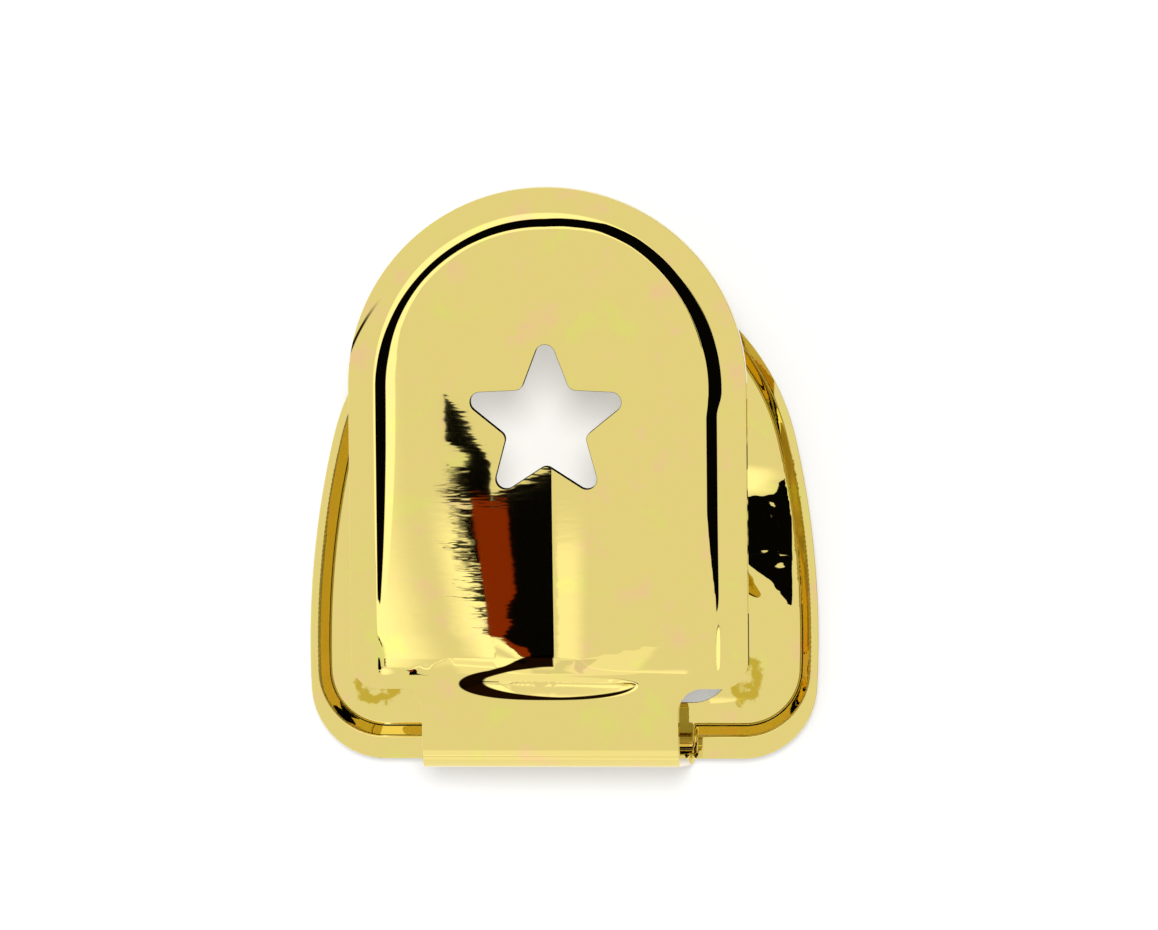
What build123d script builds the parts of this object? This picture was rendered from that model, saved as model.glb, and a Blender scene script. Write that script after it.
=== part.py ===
"""Clip-on cap for one front tooth: one sheet of metal, pierced, pressed and folded.

The cap lies on its back frame. X runs across the tooth, Y from the fold to the gum, Z from the back of
the tooth to its front. The origin is under the middle of the cap, on the surface that it lies on.
"""

from build123d import *
from math import atan2, cos, pi, radians, sin, tan
import os

# Sheet
sheet = 0.24

# Front plate, measured along its own slope
front_width = 7.90
front_length = 9.97
front_lean_deg = 6.0
front_corner = 0.55
front_foot_height = 3.90

# Raised panel of the front plate
border_width = 0.64
panel_start = 0.25
panel_foot_rise = -0.10
panel_foot_crown = 0.12
panel_belly = 3.00
panel_belly_rise = 0.20
panel_belly_crown = 0.20
panel_top_rise = 0.20
panel_top_crown = 0.10
panel_wall_deg = 25.0
panel_round = 0.12
panel_reach = 1.0

# Star hole
star_height = 5.32
star_tip_reach = 1.93
star_waist_reach = 0.82
star_tip_round = 0.20
star_waist_round = 0.18
star_points = 5

# Dimple across the foot of the panel
dimple_length = 3.50
dimple_width = 0.74
dimple_depth = 0.15
dimple_height = 0.06
dimple_wall = 0.16

# Neck, the strap that goes round the biting edge
neck_width = 5.10
neck_drop = 1.56
neck_notch = 0.48
neck_notch_land = 0.10
neck_bend = 0.50

# Back frame
frame_width = 10.21
frame_widest = 2.38
frame_side_radius = 18.0
frame_taper = 0.34
frame_corner = 1.50
frame_setback = 0.12
frame_height = 0.62

# Lip and step of the back frame, at its sides and at its foot
lip_side = 0.20
lip_foot = 0.42
step_side = 0.15
step_foot = 0.28

# Opening of the back frame
opening_side = 1.75
opening_foot = 1.12
opening_taper = 0.58
opening_corner = 0.80

# Front plate: its foot is over the fold, and it leans out towards the gum
lean = radians(front_lean_deg)
length = neck_drop + front_length * cos(lean) + sheet * sin(lean)
fold_y = -length / 2
front_arch = front_width / 2
front_spring = front_length - front_arch
front_foot = (0, fold_y + neck_drop, front_foot_height)
front_plane = Plane(origin=front_foot, x_dir=(1, 0, 0), z_dir=(0, -sin(lean), cos(lean)))
shoulder = (front_width - neck_width) / 2
notch_round = min(neck_notch, shoulder - front_corner - neck_notch_land)
panel_arch = front_arch - border_width
panel_wall_slope = tan(radians(panel_wall_deg))

# Dimple: its walls slope as much outside the sheet as inside
dimple_shift = sheet * tan(atan2(dimple_depth, dimple_wall) / 2)

# Neck: the middle of the sheet, from the front plate down, across the fold and into the frame's floor
plate_middle = front_plane.from_local_coords((0, 0, -sheet / 2))
fold_middle_y = fold_y + sheet / 2
front_bend_z = plate_middle.Z - (plate_middle.Y - fold_middle_y) * tan(lean)

# Back frame: each outline is an inset at the sides and an inset at the foot
frame_foot_y = fold_y + frame_setback
frame_widest_y = frame_foot_y + frame_widest
frame_side_centre = frame_side_radius - frame_width / 2
frame_arch_radius = frame_width / 2 - frame_taper
opening_arch_radius = frame_width / 2 - opening_side - opening_taper
step_rise = frame_height - sheet
step_shift_side = sheet * tan(atan2(step_rise, step_side) / 2)
step_shift_foot = sheet * tan(atan2(step_rise, step_foot) / 2)
floor_side = lip_side + step_side
floor_foot = lip_foot + step_foot
neck_tail_y = frame_foot_y + (floor_foot + opening_foot) / 2
neck_corners = (
    (plate_middle.Y, plate_middle.Z),
    (fold_middle_y, front_bend_z),
    (fold_middle_y, sheet / 2),
    (neck_tail_y, sheet / 2),
)


def draw_panel(arch_radius, foot):
    """Arched outline of the raised panel, from the height of its foot up."""
    with Locations((0, front_spring)):
        Circle(arch_radius)
    with Locations((0, foot)):
        Rectangle(2 * arch_radius, front_spring - foot, align=(Align.CENTER, Align.MIN))


def draw_front_plate():
    """Outline of the front plate, with rounded corners and the notches beside the neck."""
    neck_side = neck_width / 2
    with BuildLine() as outline:
        Line((0, -notch_round), (neck_side, -notch_round))
        CenterArc((neck_side + notch_round, -notch_round), notch_round, 90, 90)
        Line((neck_side + notch_round, 0), (front_arch - front_corner, 0))
        CenterArc((front_arch - front_corner, front_corner), front_corner, 270, 90)
        Line((front_arch, front_corner), (front_arch, front_spring))
        CenterArc((0, front_spring), front_arch, 0, 90)
        mirror(about=Plane.YZ)
    make_face(outline.edges())


def draw_star():
    """Star outline with rounded tips and rounded inner corners."""
    centre = (0, star_height, 0)
    corners = []
    for i in range(2 * star_points):
        reach = star_waist_reach if i % 2 else star_tip_reach
        angle = i * pi / star_points
        corners.append((-reach * sin(angle), star_height + reach * cos(angle)))
    with BuildLine() as outline:
        Polyline(*corners, close=True)
    make_face(outline.edges())
    fillet(vertices().sort_by_distance(centre)[star_points:], star_tip_round)
    fillet(vertices().sort_by_distance(centre)[:star_points], star_waist_round)


def draw_lens(width):
    """Lens outline of the dimple, of a given width and of the dimple's own proportions."""
    half = width / 2
    reach = half * dimple_length / dimple_width
    with BuildLine() as outline:
        ThreePointArc((-reach, dimple_height), (0, dimple_height + half), (reach, dimple_height))
        ThreePointArc((reach, dimple_height), (0, dimple_height - half), (-reach, dimple_height))
    make_face(outline.edges())


def draw_frame_outline(side_inset, foot_inset, arch_radius, corner_radius):
    """Outline of the back frame, moved in by one amount at its sides and by another at its foot."""
    side_radius = frame_side_radius - side_inset
    with Locations((-frame_side_centre, frame_widest_y)):
        Circle(side_radius)
    with Locations((frame_side_centre, frame_widest_y)):
        Circle(side_radius, mode=Mode.INTERSECT)
    with Locations((0, frame_foot_y + foot_inset)):
        Rectangle(frame_width, 2 * side_radius, align=(Align.CENTER, Align.MIN), mode=Mode.INTERSECT)
    fillet(vertices().sort_by(Axis.Y)[-1], arch_radius)
    fillet(vertices().sort_by(Axis.Y)[:2], corner_radius)


def draw_pan_outline(side_inset, foot_inset):
    """Outline of the back frame with its arch and corners moved in as far as its sides."""
    draw_frame_outline(side_inset, foot_inset, frame_arch_radius - side_inset, frame_corner - side_inset)


def front_section_plane(along):
    """Plane square to the front plate's slope, where the sketch's Y is the plate's outward normal."""
    origin = front_plane.from_local_coords((0, along, 0))
    return Plane(origin=origin, x_dir=(1, 0, 0), z_dir=-front_plane.y_dir)


def make_panel_block(inset, sink, floor):
    """Block under the raised panel's skin, moved in by an inset, down by a sink, and open from a floor up."""
    sections = (
        (0, panel_foot_rise, panel_foot_crown),
        (panel_belly, panel_belly_rise, panel_belly_crown),
        (front_length, panel_top_rise, panel_top_crown),
    )
    with BuildPart() as block:
        for along, rise, crown in sections:
            edge = rise - sink
            with BuildSketch(front_section_plane(along)):
                with BuildLine():
                    skin = ThreePointArc((-front_arch, edge), (0, edge + crown), (front_arch, edge))
                    Polyline(skin @ 1, (front_arch, -panel_reach), (-front_arch, -panel_reach), skin @ 0)
                make_face()
        loft()
        for height in (floor, panel_reach):
            wall_inset = inset + height * panel_wall_slope
            with BuildSketch(front_plane.offset(height)):
                draw_panel(panel_arch - wall_inset, panel_start + wall_inset)
        loft(ruled=True, mode=Mode.INTERSECT)
    return block.part


with BuildPart() as tooth_cap:
    # Back frame: a shallow pan with a sloping step and a flat lip
    with BuildSketch(Plane.XY):
        draw_pan_outline(floor_side - step_shift_side, floor_foot - step_shift_foot)
    with BuildSketch(Plane.XY.offset(step_rise)):
        draw_pan_outline(lip_side - step_shift_side, lip_foot - step_shift_foot)
    loft(ruled=True)
    with BuildSketch(Plane.XY.offset(step_rise)):
        draw_pan_outline(0, 0)
    extrude(amount=sheet)
    with BuildSketch(Plane.XY.offset(sheet)):
        draw_pan_outline(floor_side, floor_foot)
    with BuildSketch(Plane.XY.offset(frame_height)):
        draw_pan_outline(lip_side, lip_foot)
    loft(ruled=True, mode=Mode.SUBTRACT)
    with BuildSketch(Plane.XY):
        draw_frame_outline(opening_side, opening_foot, opening_arch_radius, opening_corner)
    extrude(amount=sheet, mode=Mode.SUBTRACT)

    # Gap in the step and the lip where the neck comes through
    with BuildSketch(Plane.XY):
        with Locations((0, frame_foot_y)):
            Rectangle(neck_width, floor_foot, align=(Align.CENTER, Align.MIN))
    extrude(amount=frame_height, mode=Mode.SUBTRACT)

    # Neck: one strap bent twice
    with BuildLine(Plane.YZ) as neck_path:
        FilletPolyline(*neck_corners, radius=neck_bend - sheet / 2)
    with BuildSketch(Plane(origin=neck_path.line @ 0, x_dir=(1, 0, 0), z_dir=neck_path.line % 0)):
        Rectangle(neck_width, sheet)
    sweep()

    # Front plate
    with BuildSketch(front_plane):
        draw_front_plate()
    extrude(amount=-sheet)

    # Raised panel, rounded at its edge and hollow behind
    with BuildPart(mode=Mode.PRIVATE) as panel:
        add(make_panel_block(0, 0, -sheet))
        skin_face = panel.faces().sort_by(Axis(front_foot, front_plane.z_dir))[-1]
        fillet(skin_face.edges(), panel_round)
    add(panel.part)
    add(make_panel_block(sheet, sheet, -panel_reach), mode=Mode.SUBTRACT)

    # Dimple, pressed in from the front, so that it stands out behind
    for height in (dimple_depth - sheet, -dimple_depth - sheet):
        slope_width = dimple_width + 2 * dimple_wall * (height + sheet) / dimple_depth
        with BuildSketch(front_plane.offset(height)):
            draw_lens(slope_width + 2 * dimple_shift)
    loft(ruled=True)
    for height in (dimple_depth, -dimple_depth):
        with BuildSketch(front_plane.offset(height)):
            draw_lens(dimple_width + 2 * dimple_wall * height / dimple_depth)
    loft(ruled=True, mode=Mode.SUBTRACT)

    # Star hole
    with BuildSketch(front_plane.offset(-panel_reach)):
        draw_star()
    extrude(amount=2 * panel_reach, mode=Mode.SUBTRACT)

tooth_cap.part.label = "tooth_cap"
os.makedirs("parts", exist_ok=True)
export_step(tooth_cap.part, "parts/tooth_cap.step")
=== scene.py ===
"""Looks of the tooth cap: one thin sheet of gold-plated metal, pierced, pressed and folded.

The sheet is laid out flat first, as (x, v). Over the back frame v is the distance from the fold. Below
nought it goes on up the neck and along the front plate, where a is the distance from the plate's foot.
Every point of the layout then has a place on the outer side of the folded sheet, called side A, and one
on its inner side, called side B. Lengths are in millimetres until the mesh is made.
"""

import math

import bpy
import numpy as np
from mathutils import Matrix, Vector
from mathutils.geometry import delaunay_2d_cdt
from mathutils.kdtree import KDTree


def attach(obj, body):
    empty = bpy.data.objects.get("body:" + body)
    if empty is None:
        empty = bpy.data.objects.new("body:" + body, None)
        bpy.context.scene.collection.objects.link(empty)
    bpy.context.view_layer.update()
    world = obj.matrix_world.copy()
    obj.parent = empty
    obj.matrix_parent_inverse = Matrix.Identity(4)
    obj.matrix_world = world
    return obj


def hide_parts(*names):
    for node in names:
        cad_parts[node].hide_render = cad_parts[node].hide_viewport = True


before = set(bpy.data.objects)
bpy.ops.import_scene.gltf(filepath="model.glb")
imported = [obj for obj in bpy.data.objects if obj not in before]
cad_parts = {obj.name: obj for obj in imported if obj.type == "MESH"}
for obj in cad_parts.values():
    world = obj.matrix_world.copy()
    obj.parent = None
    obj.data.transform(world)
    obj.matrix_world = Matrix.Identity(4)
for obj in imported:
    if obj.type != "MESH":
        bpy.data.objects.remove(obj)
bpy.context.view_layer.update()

MM = 0.001
SHEET = 0.24
HALF = SHEET / 2
EDGE_ROUND = 0.008
EDGE_STEPS = (30, 60, 90)

# Front plate, and its star hole
FRONT_WIDTH = 7.90
FRONT_LENGTH = 9.97
FRONT_LEAN = math.radians(6.0)
FRONT_CORNER = 0.55
FRONT_FOOT_HEIGHT = 3.90
NOTCH = 0.48
ARCH = FRONT_WIDTH / 2
SPRING = FRONT_LENGTH - ARCH
STAR_POINTS = 5
STAR_HEIGHT = 5.32
STAR_TIP, STAR_WAIST = 1.93, 0.82
STAR_TIP_ROUND, STAR_WAIST_ROUND = 0.20, 0.18

# Neck, and its joint with the lip: the round of the corner, how wide the change from one to the other is,
# and how far below the lip it reaches
NECK_HALF = 2.55
NECK_DROP = 1.56
BEND = 0.38
JOINT_ROUND = 0.10
JOINT_BLEND = 0.10
JOINT_REACH = 0.2

# Back frame: outline, opening, and the height of its lip
SETBACK = 0.12
SIDE_RADIUS = 18.0
SIDE_CENTRE = 12.895
WIDEST = SETBACK + 2.38
FRAME_ARCH = 4.765
FRAME_ARCH_Y = WIDEST + math.sqrt((SIDE_RADIUS - FRAME_ARCH) ** 2 - SIDE_CENTRE**2)
FRAME_CORNER = 1.50
FRAME_HEIGHT = 0.62
FLOOR_FOOT = 0.70
OPENING_SIDE, OPENING_FOOT = 1.75, 1.12
OPENING_ARCH, OPENING_CORNER = 2.775, 0.80

# Step of the back frame: nested outlines on its inner side and on its back, the rows of points along
# them, where the step starts, and the widths of its hollow, of its steepest part and of its shoulder
STEP_SIDES, STEP_FEET = (0.0, 0.17, 0.35, 0.8), (0.0, 0.47, 0.66, 1.2)
BACK_SIDES, BACK_FEET = (0.0, 0.05, 0.22, 0.8), (0.0, 0.34, 0.54, 1.2)
STEP_ROWS = (0.3, 0.6, 0.82, 0.88, 0.96, 1.04, 1.12, 1.34, 1.56, 1.78, 1.88, 1.96, 2.04, 2.12, 2.3, 2.6)
BACK_ROWS = (0.88, 1.04, 1.5, 1.96)
STEP_START, STEP_WIDTHS = 0.88, (0.16, 0.92, 0.16)

# Inner side of the back frame: how its right band tilts, the patch of it that tilts more and has small
# bumps, and how its floor falls away near the opening
BAND_X, BAND_TILT = 4.55, 0.11
BAND_FOOT = (1.0, 0.8)
PATCH_TILT, PATCH_WIDTH, PATCH_FADE = 0.10, 2, 0.7
PATCH_LOW, PATCH_SLANT, PATCH_TOP = 2.70, 0.75, 6.05
PATCH_BUMPS = ((0.0045, 0.34, 0.24, 1), (0.0011, 0.13, 0.10, 2))
FALL_X, FALL_REACH, FALL_TILT = 2.25, 0.6, 0.05
# At what level of the nested outlines all this starts, and over how much it grows
FLOOR_FROM = (0.9, 1.2)

# Panel of the front plate: how high its edge is along the plate
EDGE_AT = (0.35, 0.8, 1.3, 2.0, 3.0, 4.1, 5.0, 5.9, 7.0, 8.2, 9.6)
EDGE_RISE = (-0.065, -0.045, -0.008, 0.045, 0.105, 0.148, 0.168, 0.175, 0.172, 0.172, 0.168)
# Its crown: how much of it there is along the plate, and its slopes in degrees away from the crest
CREST_X, CREST_RISE = 0.12, 0.23
CROWN_AT = (0.7, 1.6, 2.8, 4.0, 6.2, 8.2, 9.6)
CROWN_SHARE = (1.12, 1.09, 1.03, 1.0, 1.0, 0.60, 0.38)
LEFT_AT = (0.0, 0.02, 0.9, 1.5, 2.0, 3.5)
LEFT_SLOPE = (0.0, 1.0, 2.2, 3.15, 3.55, 5.2)
RIGHT_AT = (0.0, 0.02, 0.4, 1.2, 2.2, 3.5)
RIGHT_SLOPE = (0.0, 0.5, 0.9, 2.5, 6.0, 8.0)
# Its foot: where it starts and ends along the plate, and its rounding
FOOT_START, FOOT_END, FOOT_ROUND = 0.24, 0.53, 0.06
# How much longer its foot gets towards the right (1) or the left (-1): from which x, and over how much
FOOT_LONGER = ((0.45, 1, 0.5, 2.6), (-0.14, -1, 1.9, 0.5), (-0.06, -1, 2.5, 0.3))
# How much its left half turns down at its foot: below which height and beyond which distance from the
# crest, and over how much of each
LEFT_DROP, LEFT_DROP_A, LEFT_DROP_X, LEFT_DROP_POWER = 0.045, (1.1, 0.5), (0.1, 1.1), 1.5

# Wall round the panel, by bearing in degrees from the middle of its arch: where it starts, the widths of
# its hollow, of its steepest part and of its shoulder, and its steepness in degrees
WALL = np.array(
    (
        (-90, 3.47, 0.07, 0.10, 0.34, 36.5),
        (-80, 3.47, 0.09, 0.10, 0.30, 37.5),
        (-67, 3.49, 0.16, 0.06, 0.19, 39.5),
        (-50, 3.52, 0.24, 0.02, 0.13, 41.5),
        (-30, 3.53, 0.27, 0.02, 0.11, 43.5),
        (0, 3.52, 0.28, 0.02, 0.10, 46.5),
        (12, 3.51, 0.19, 0.05, 0.10, 47.0),
        (20, 3.50, 0.11, 0.07, 0.10, 47.0),
        (32, 3.49, 0.07, 0.09, 0.10, 46.0),
        (50, 3.45, 0.05, 0.11, 0.10, 44.0),
        (60, 3.45, 0.05, 0.12, 0.10, 43.0),
        (79, 3.48, 0.05, 0.16, 0.10, 41.0),
        (90, 3.49, 0.05, 0.17, 0.10, 40.0),
    )
)
# The same on its right leg, and the height along the plate where the leg starts
RIGHT_LEG, LEG_TOP = (3.45, 0.17, 0.06, 0.08, 38.0), 5.9
# Where the height of the skin at the wall is taken, how narrow the wall gets where that is low, how far
# it then moves in, and how far inwards the skin makes up for a height that differs from the wall's
BRINK_RADIUS, NARROWEST, NARROW_SHIFT, SKIN_SPREAD = 3.25, 0.35, 0.06, 1.6
LEAST_RADIUS = 0.4
# How much wider the wall's hollow is on side B, and the least widths of its other parts there
INNER_SHIFT, LEAST_SHOULDER, LEAST_WALL = 0.17, 0.05, 0.01

# Dimple: its middle and the slant of its long axis, its half length, its reach above and below, and how
# blunt its left and right ends are
DIMPLE_X, DIMPLE_A, DIMPLE_SLANT = -0.025, 0.10, -0.017
DIMPLE_LONG, DIMPLE_UP, DIMPLE_DOWN = 1.775, 0.16, 0.31
DIMPLE_BLUNT = (4.0, 2.8)
# Its depth in the middle, how much deeper it is at its left and right ends, and at what share of its
# half length each of these starts, and over what share it grows
DIMPLE_DEEP, DIMPLE_LEFT, DIMPLE_RIGHT = 0.07, 0.03, 0.02
DIMPLE_LEFT_FROM, DIMPLE_RIGHT_FROM = (0.30, 0.40), (0.72, 0.22)
# The slope of its wall, how much gentler its upper wall is, and the slope of its left end
DIMPLE_STEEP, DIMPLE_GENTLER, DIMPLE_BOW = 0.62, 0.30, 0.20
# The slope of its floor below the long axis, and how far in from the outline that slope reaches
DIMPLE_RAMP, DIMPLE_RAMP_REACH = 0.28, 0.21
# How much height the change from the lower to the upper half takes, in its floor and in its wall
DIMPLE_FLOOR_CHANGE, DIMPLE_WALL_CHANGE = 0.12, 0.10
# Rounding between its floor and its left end, at its brim, and between its wall and its floor
DIMPLE_ROUNDS = (0.01, 0.005, 0.006)
# How much wider it is all round on side B
DIMPLE_INNER_SHIFT = 0.08

# Path of the sheet's middle from the frame's floor: bend, neck, bend and front plate. P is the distance
# along it, and V_FOOT is the layout's v at the foot of the front plate
LENGTH = NECK_DROP + FRONT_LENGTH * math.cos(FRONT_LEAN) + SHEET * math.sin(FRONT_LEAN)
FOLD_Y = -LENGTH / 2
BEND_Y = SETBACK + BEND
PLATE_MID_Y = NECK_DROP + HALF * math.sin(FRONT_LEAN)
PLATE_MID_Z = FRONT_FOOT_HEIGHT - HALF * math.cos(FRONT_LEAN)
CORNER_Z = PLATE_MID_Z - (PLATE_MID_Y - SETBACK) * math.tan(FRONT_LEAN)
TURN = math.radians(90) - FRONT_LEAN
TANGENT = BEND * math.tan(TURN / 2)
P_BEND = SETBACK + FLOOR_FOOT - BEND_Y
P_NECK = P_BEND + BEND * math.pi / 2
P_TOP = P_NECK + CORNER_Z - TANGENT - BEND_Y
P_PLATE = P_TOP + BEND * TURN
P_FOOT = P_PLATE + (PLATE_MID_Y - SETBACK) / math.cos(FRONT_LEAN) - TANGENT
FLOOR_END = SETBACK + FLOOR_FOOT
FLOOR_STRETCH = P_NECK / FLOOR_FOOT
V_FOOT = SETBACK - (P_FOOT - P_NECK)

# Distances between the points of the outlines, and the least distance between those of each group inside
OUTLINE_SPACING, STAR_SPACING = 0.09, 0.06
ROW_GAP, BEND_GAP, EVEN_GAP = 0.011, 0.035, 0.065
LEAST_CLEARANCE = 0.02
# Places of the rows of points, as start, end and spacing: over the band's patch, along the panel's wall,
# across its foot, and across the two bends
PATCH_GRID = ((3.1, 4.75, 0.045), (3.2, 6.2, 0.045))
WALL_ROWS, WALL_ROW_FOOT = (2.68, 3.60, 0.026), 0.10
FOOT_HALF, FOOT_ROWS = 3.35, (0.16, 0.68, 0.03)
LOW_BEND_X, TOP_BEND_X, BEND_PITCH = (-2.9, 2.9, 0.08), (-2.5, 2.5, 0.1), 0.045
# The rows along the crest by their distance from it, and those of the dimple by their inset
CREST_ROWS, CREST_SPAN = (-0.02, 0.0, 0.02), (0.1, 6.0)
DIMPLE_ROWS = (
    (-0.03, -0.012, 0.0, 0.01, 0.024, 0.038, 0.05, 0.062)
    + (0.074, 0.09, 0.11, 0.13, 0.16, 0.19, 0.22, 0.25)
)
# How many points a row has: across the foot, along the crest, round the dimple, along the straight foot
# of a nested outline and its corner, side and arch, and along the wall's leg and bow
FOOT_COUNT, CREST_COUNT, DIMPLE_COUNT = 120, 110, 160
FLAT_COUNT, BOW_COUNTS = 14, (34, 50, 70)
WALL_LEG_COUNT, WALL_BOW_COUNT = 77, 100
# The even grid of points: its half width, its top, its pitch, and how much closer its rows are
EVEN_HALF, EVEN_TOP, EVEN_PITCH, EVEN_CLOSER = 5.2, 11.6, 0.105, 0.87
BISECTIONS = 22
NORMAL_REACH = 0.004
SAME_POINT = 1e-6

# Gold. Each noise is given by its scale, detail and roughness. The blotches' tint, by place
BLOTCHES, RAGGED, RIPPLES = (1150.0, 5.0, 0.6), (4200.0, 3.0, 0.6), (5500.0, 1.0, 0.4)
RIPPLE_STRETCH, RIPPLE_STRENGTH, RIPPLE_HEIGHT = (0.45, 1.9, 1.0), 0.16, 0.000002
TINT = (
    (0.32, (0.74, 0.67, 0.18, 1)),
    (0.43, (0.765, 0.63, 0.205, 1)),
    (0.57, (0.765, 0.63, 0.205, 1)),
    (0.70, (0.82, 0.57, 0.26, 1)),
)
# Colour of the painted dark reflections and shade on the front plate, and the height above which they are
# painted
PAINTED_DARK_COLOUR, PAINTED_DARK_FROM_Z = (0.007, 0.002, 0.0, 1), (3.55, 3.60)
# Painted shade: colour and share of the darker gold where the back frame reflects the front plate's shaded
# corners
PAINTED_SHADE_COLOUR, PAINTED_SHADE_SHARE = (0.50, 0.34, 0.0, 1), 0.8
# Painted shade spots, the plate's shaded corners reflected: middle and half size in x and y, their ragged
# edge, their paler middle, and their top
PAINTED_SHADE_SPOTS = (((3.62, -4.05), (0.34, 0.50)), ((-3.80, -4.20), (0.48, 0.36)))
PAINTED_SHADE_RAGGED, PAINTED_SHADE_EDGE, PAINTED_SHADE_MIDDLE, PAINTED_SHADE_Z = 1.9, (1.15, 0.75), (0.0, 0.35), (0.9, 0.8)
# Painted dark reflection and shade in a ring round the dimple's crease, between two lenses: middle and half
# size in x and a, and bluntness
RING_OUTER, RING_OUTER_EDGE = ((-0.05, 0.10), (1.76, 0.325), 2.6), (1.03, 0.97)
RING_INNER, RING_INNER_EDGE = ((0.22, 0.137), (1.54, 0.302), 1.6), (0.96, 1.04)
# Painted dark reflection in a link above it: the crest of its lower edge, how that curves, its thickness, and
# how much thicker it is to the right, then its soft edges
LINK_X, LINK_A, LINK_CURVE = 0.10, 0.44, -0.12
LINK_THICK, LINK_THICKER, LINK_THICKER_X = 0.13, 0.11, (-0.95, -0.40)
LINK_LOW, LINK_HIGH, LINK_LEFT, LINK_RIGHT = (-0.01, 0.01), (0.012, -0.012), (-1.5, -1.3), (0.11, 0.07)
# Painted dark reflection in a streak across the border: its radius at a bearing of -80 degrees, how that
# changes for each degree, its soft edge, and the bearings between which it fades at its ends
PAINTED_STREAK_RADIUS, PAINTED_STREAK_BEARING, PAINTED_STREAK_SWERVE = 3.965, -80.0, -0.0137
PAINTED_STREAK_EDGE, PAINTED_STREAK_TOP, PAINTED_STREAK_FOOT, PAINTED_STREAK_A = (0.035, 0.015), (-61.0, -72.0), (-86.0, -80.0), (0.0, 0.1)

# Light round the cap. Alpha and beta are degrees from straight above, towards +X and towards +Y. A pair
# says where a soft change starts and ends
HORIZON = (19.0, 23.0)
HORIZON_DROP, DROP_FROM = 5.0, (0.7, 0.85)
FOOT_LIGHT, FOOT_LIGHT_Y, FOOT_LIGHT_X = 0.8, (-0.35, -0.75), (-0.17, -0.15)
RIGHT_WALL_X, RIGHT_WALL_Y, RIGHT_WALL = 0.94, 0.34, (0.48, 0.44)
DISC_ALPHA, DISC_EDGE = 18.5, (5.2, 4.8)
# The dark gap: the upper edges of its arm and of its stripe, as a point and a slant, then its sides
ARM_ALPHA, ARM_BETA, ARM_SLANT = -12.1, -13.26, 1.36
STRIPE_ALPHA, STRIPE_BETA, STRIPE_SLANT = -7.5, -14.97, -0.25
ARM_EDGE, STRIPE_EDGE = (0.06, -0.06), (0.05, -0.05)
GAP_LEFT, GAP_LEFT_SHIFT, GAP_LEFT_FROM, GAP_LEFT_EDGE = -13.12, 0.85, (-13.4, -14.6), (-0.04, 0.04)
GAP_RIGHT, ARM_RIGHT, GAP_LOWEST = (-6.3, -6.4), (-11.0, -11.1), (-23.7, -23.0)
# The feathers on its left, and the brown part of its stripe
FEATHER_SCALE, FEATHER_LEAST, FEATHER_LENGTH = 2.8, 0.40, 6.0
FEATHER_TOP, FEATHER_FOOT = (-14.6, -15.2), (-22.5, -19.5)
BROWN_TOP, BROWN_RIGHT, BROWN_LEFT = (-15.9, -16.1), (-9.85, -10.1), (-0.06, 0.10)
BROWN_LEAN, BROWN_LEAN_FROM = 1.4, (-19.0, -22.2)
BROWN_RED, BROWN_GREEN = 0.27, 0.03
# Brighter parts: beside the gap, beyond the cap's top, far to its left, and far beyond its foot
GLOW, GLOW_LOW = 0.5, (-15.5, -18.0)
GLOW_LEFT = ((-12.1, -12.4), (-14.6, -12.9))
GLOW_RIGHT, GLOW_RIGHT_SHARE = ((-4.2, -4.0), (-1.8, -3.6)), 0.7
GLOW_TOP = ((2.0, 18.0), (80.0, 60.0))
GLOW_FAR_LEFT = (-14.9, -18.0)
GLOW_FOOT, GLOW_FOOT_SHARE = (-36.0, -42.0), 0.35
DARKEST = 0.002

# Floor, in metres, lamp and camera. The image is IMAGE_WIDTH pixels wide
FLOOR_HALF, FLOOR_BELOW = 1.2, 0.00001
FLOOR_GREY, FLOOR_GLOW, FLOOR_ROUGHNESS = 0.42, 0.35, 0.9
LAMP_ENERGY, LAMP_SPREAD = 2.9, math.radians(12.0)
CAMERA_SWING = math.radians(4.95)
CAMERA_AWAY = 0.30
IMAGE_WIDTH, PIXELS_PER_MM = 1158, 50.25
SENSOR = 36.0
AIM_X, AIM_Y, AIM_Z = 0.46, 0.246, 2.5


def ease(t):
    """Smooth step from 0 to 1."""
    t = np.clip(t, 0.0, 1.0)
    return t * t * (3 - 2 * t)


def ramp(t):
    """Integral of the smooth step."""
    t = np.clip(t, 0.0, 1.0)
    return t**3 - t**4 / 2


def lattice_noise(x, y, cell_x, cell_y, seed):
    """Smooth random heights from -1 to 1, with features of a given size."""
    x, y = x / cell_x + seed * 17.3, y / cell_y + seed * 5.9
    ix, iy = np.floor(x), np.floor(y)
    fx, fy = ease(x - ix), ease(y - iy)

    def corner(i, j):
        wave = np.sin(i * 127.1 + j * 311.7 + seed * 74.7) * 43758.5453
        return 2 * (wave - np.floor(wave)) - 1

    low = corner(ix, iy) * (1 - fx) + corner(ix + 1, iy) * fx
    high = corner(ix, iy + 1) * (1 - fx) + corner(ix + 1, iy + 1) * fx
    return low * (1 - fy) + high * fy


def curve(x, knots, values):
    """Smooth curve through knots: a monotone cubic."""
    knots, values = np.asarray(knots, float), np.asarray(values, float)
    step = np.diff(knots)
    slope = np.diff(values) / step
    tangents = np.zeros_like(values)
    same = slope[:-1] * slope[1:] > 0
    total = np.where(same, slope[:-1] + slope[1:], 1)
    tangents[1:-1] = np.where(same, 2 * slope[:-1] * slope[1:] / total, 0)
    x = np.clip(x, knots[0], knots[-1])
    i = np.clip(np.searchsorted(knots, x) - 1, 0, len(step) - 1)
    t = (x - knots[i]) / step[i]
    h = step[i]
    start = (1 + 2 * t) * (1 - t) ** 2 * values[i] + t * (1 - t) ** 2 * h * tangents[i]
    return start + t * t * (3 - 2 * t) * values[i + 1] + t * t * (t - 1) * h * tangents[i + 1]


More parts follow.
